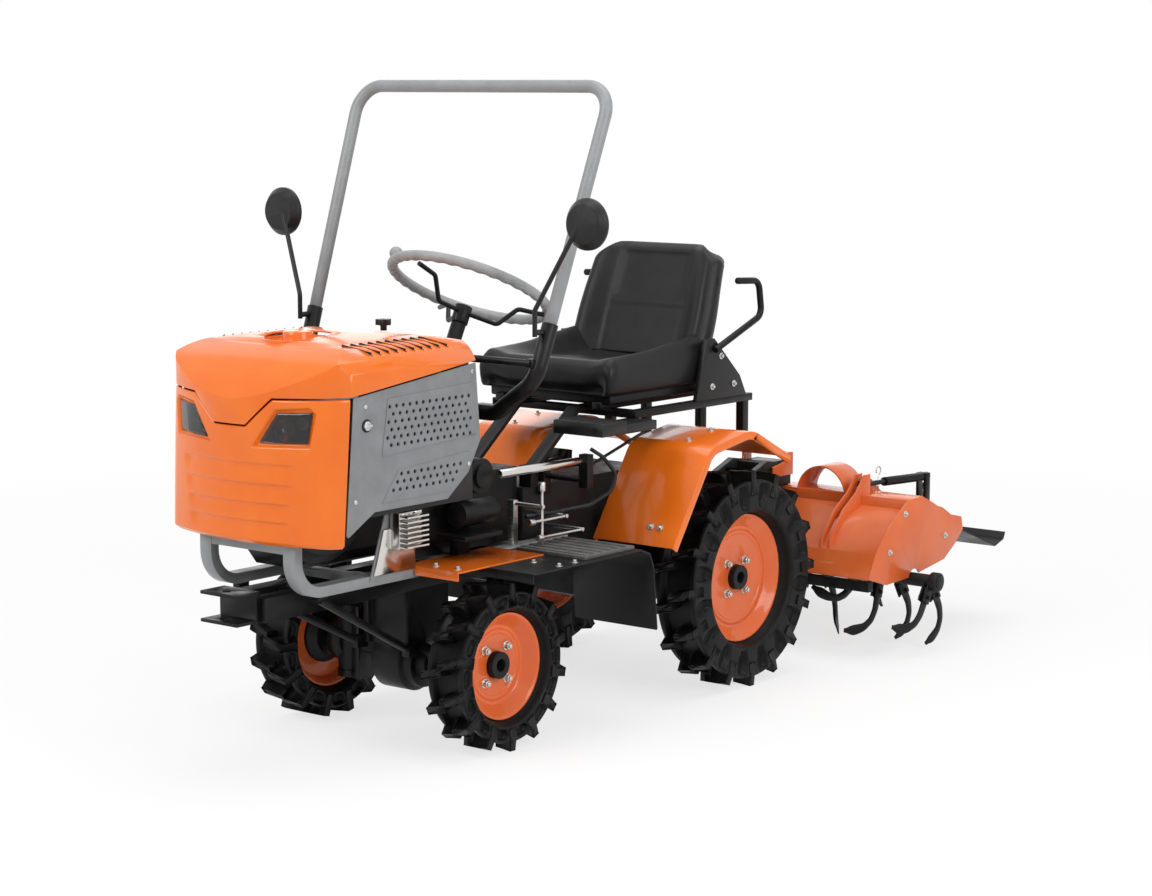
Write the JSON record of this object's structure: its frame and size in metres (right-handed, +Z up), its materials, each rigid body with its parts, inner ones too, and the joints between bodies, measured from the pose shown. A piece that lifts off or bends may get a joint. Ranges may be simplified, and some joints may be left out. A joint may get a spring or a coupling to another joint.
{
  "type": "ride-on cultivator",
  "caption": "Small ride-on four-wheel-drive tractor with paddy tyres, a roll hoop and a rear-mounted rotary tiller.",
  "frame": {"origin": "on the ground, at the middle of the whole machine's length and width", "axes": "+Z up, +X towards the driver's left, the front towards -Y"},
  "size_m": [1.166, 2.78, 1.619],
  "materials": {
    "tyre": "moulded rubber",
    "rim_orange": "gloss paint",
    "bonnet_orange": "high gloss paint",
    "hood_orange": "satin paint",
    "frame_grey": "satin paint",
    "panel_grey": "satin paint",
    "black_steel": "satin powder coat",
    "cast_black": "painted casting",
    "black_plastic": "moulded",
    "grip_grey": "moulded",
    "lamp_glass": "smoked lens",
    "seat_vinyl": "moulded vinyl",
    "mat_rubber": "moulded",
    "polished_plate": "polished",
    "zinc_rod": "zinc plated",
    "tine_steel": "worn forged"
  },
  "bodies": {
    "chassis": {"front_axle": "cast_black", "main_frame": "black_steel", "front_hitch": "black_steel", "loop_frame": "frame_grey", "engine_block": "cast_black", "fan_shroud": "black_plastic", "regulator_plate": "polished_plate", "transmission": "cast_black", "dash_frame": "black_steel", "steering_column": "black_steel", "roll_hoop": "frame_grey", "hoop_base": "black_steel", "mirrors": "black_plastic", "side_panels": "panel_grey", "foot_plates": "bonnet_orange", "step_guards": "black_steel", "foot_mats": "mat_rubber", "fenders": "bonnet_orange", "seat_frame": "black_steel", "seat": "seat_vinyl", "seat_boxes": "black_plastic", "seat_covers": "black_plastic", "grab_rails": "black_steel", "hand_lever": "polished_plate", "lever_bracket": "black_steel", "control_rods": "zinc_rod", "control_cable": "black_plastic", "starter": "cast_black", "tiller_hitch": "black_steel"},
    "bonnet": {"bonnet_top": "bonnet_orange", "bonnet_nose": "bonnet_orange", "headlamps": "lamp_glass", "bonnet_knob": "black_plastic"},
    "steering_wheel": {"steering_spokes": "black_steel", "steering_rim": "grip_grey"},
    "tie_rod": {"tie_rod": "black_steel"},
    "knuckle_left": {"knuckle_left": "cast_black"},
    "knuckle_right": {"knuckle_right": "cast_black"},
    "wheel_front_left": {"tyre_front_left": "tyre", "rim_front_left": "rim_orange", "hub_front_left": "cast_black"},
    "wheel_front_right": {"tyre_front_right": "tyre", "rim_front_right": "rim_orange", "hub_front_right": "cast_black"},
    "wheel_rear_left": {"tyre_rear_left": "tyre", "rim_rear_left": "rim_orange", "hub_rear_left": "cast_black"},
    "wheel_rear_right": {"tyre_rear_right": "tyre", "rim_rear_right": "rim_orange", "hub_rear_right": "cast_black"},
    "tiller": {"tiller_frame": "cast_black", "tiller_hood": "hood_orange", "tiller_bracket": "hood_orange", "adjuster": "black_steel"},
    "rotor": {"rotor": "tine_steel"},
    "levelling_board": {"levelling_board": "black_steel"}
  },
  "joints": [
    {"name": "steer_left", "type": "hinge", "parent": "chassis", "child": "knuckle_left", "pos_m": [0.19, -0.75, 0.2075], "axis": [0, 0, 1], "range_deg": [-28, 28]},
    {"name": "steer_right", "type": "hinge", "parent": "chassis", "child": "knuckle_right", "pos_m": [-0.19, -0.75, 0.2075], "axis": [0, 0, 1], "range_deg": [-28, 28]},
    {"name": "tie_rod_slide", "type": "slide", "parent": "chassis", "child": "tie_rod", "axis": [1, 0, 0], "range_m": [-0.045, 0.045]},
    {"name": "steering_turn", "type": "hinge", "parent": "chassis", "child": "steering_wheel", "pos_m": [0, -0.501, 1.096], "axis": [0, 0.4493, 0.8934], "range_deg": [-420.5, 420.5]},
    {"name": "wheel_front_left_spin", "type": "hinge", "parent": "knuckle_left", "child": "wheel_front_left", "pos_m": [0.325, -0.75, 0.2075], "axis": [1, 0, 0], "continuous": true},
    {"name": "wheel_front_right_spin", "type": "hinge", "parent": "knuckle_right", "child": "wheel_front_right", "pos_m": [-0.325, -0.75, 0.2075], "axis": [1, 0, 0], "continuous": true},
    {"name": "wheel_rear_left_spin", "type": "hinge", "parent": "chassis", "child": "wheel_rear_left", "pos_m": [0.366, 0.188, 0.292], "axis": [1, 0, 0], "continuous": true},
    {"name": "wheel_rear_right_spin", "type": "hinge", "parent": "chassis", "child": "wheel_rear_right", "pos_m": [-0.366, 0.188, 0.292], "axis": [1, 0, 0], "continuous": true},
    {"name": "bonnet_tilt", "type": "hinge", "parent": "chassis", "child": "bonnet", "pos_m": [0, -1.315, 0.57], "axis": [1, 0, 0], "range_deg": [0, 60]},
    {"name": "tiller_lift", "type": "hinge", "parent": "chassis", "child": "tiller", "pos_m": [0, 0.485, 0.395], "axis": [1, 0, 0], "range_deg": [0, 18]},
    {"name": "rotor_spin", "type": "hinge", "parent": "tiller", "child": "rotor", "pos_m": [0, 0.854, 0.205], "axis": [1, 0, 0], "continuous": true},
    {"name": "board_swing", "type": "hinge", "parent": "tiller", "child": "levelling_board", "pos_m": [0, 1.106, 0.313], "axis": [1, 0, 0], "range_deg": [-25, 12]}
  ],
  "couplings": [
    {"joint": "steer_right", "follows": "steer_left", "ratio": 1},
    {"joint": "tie_rod_slide", "follows": "steer_left", "m_per_rad": -0.09},
    {"joint": "steering_turn", "follows": "steer_left", "ratio": 15}
  ]
}
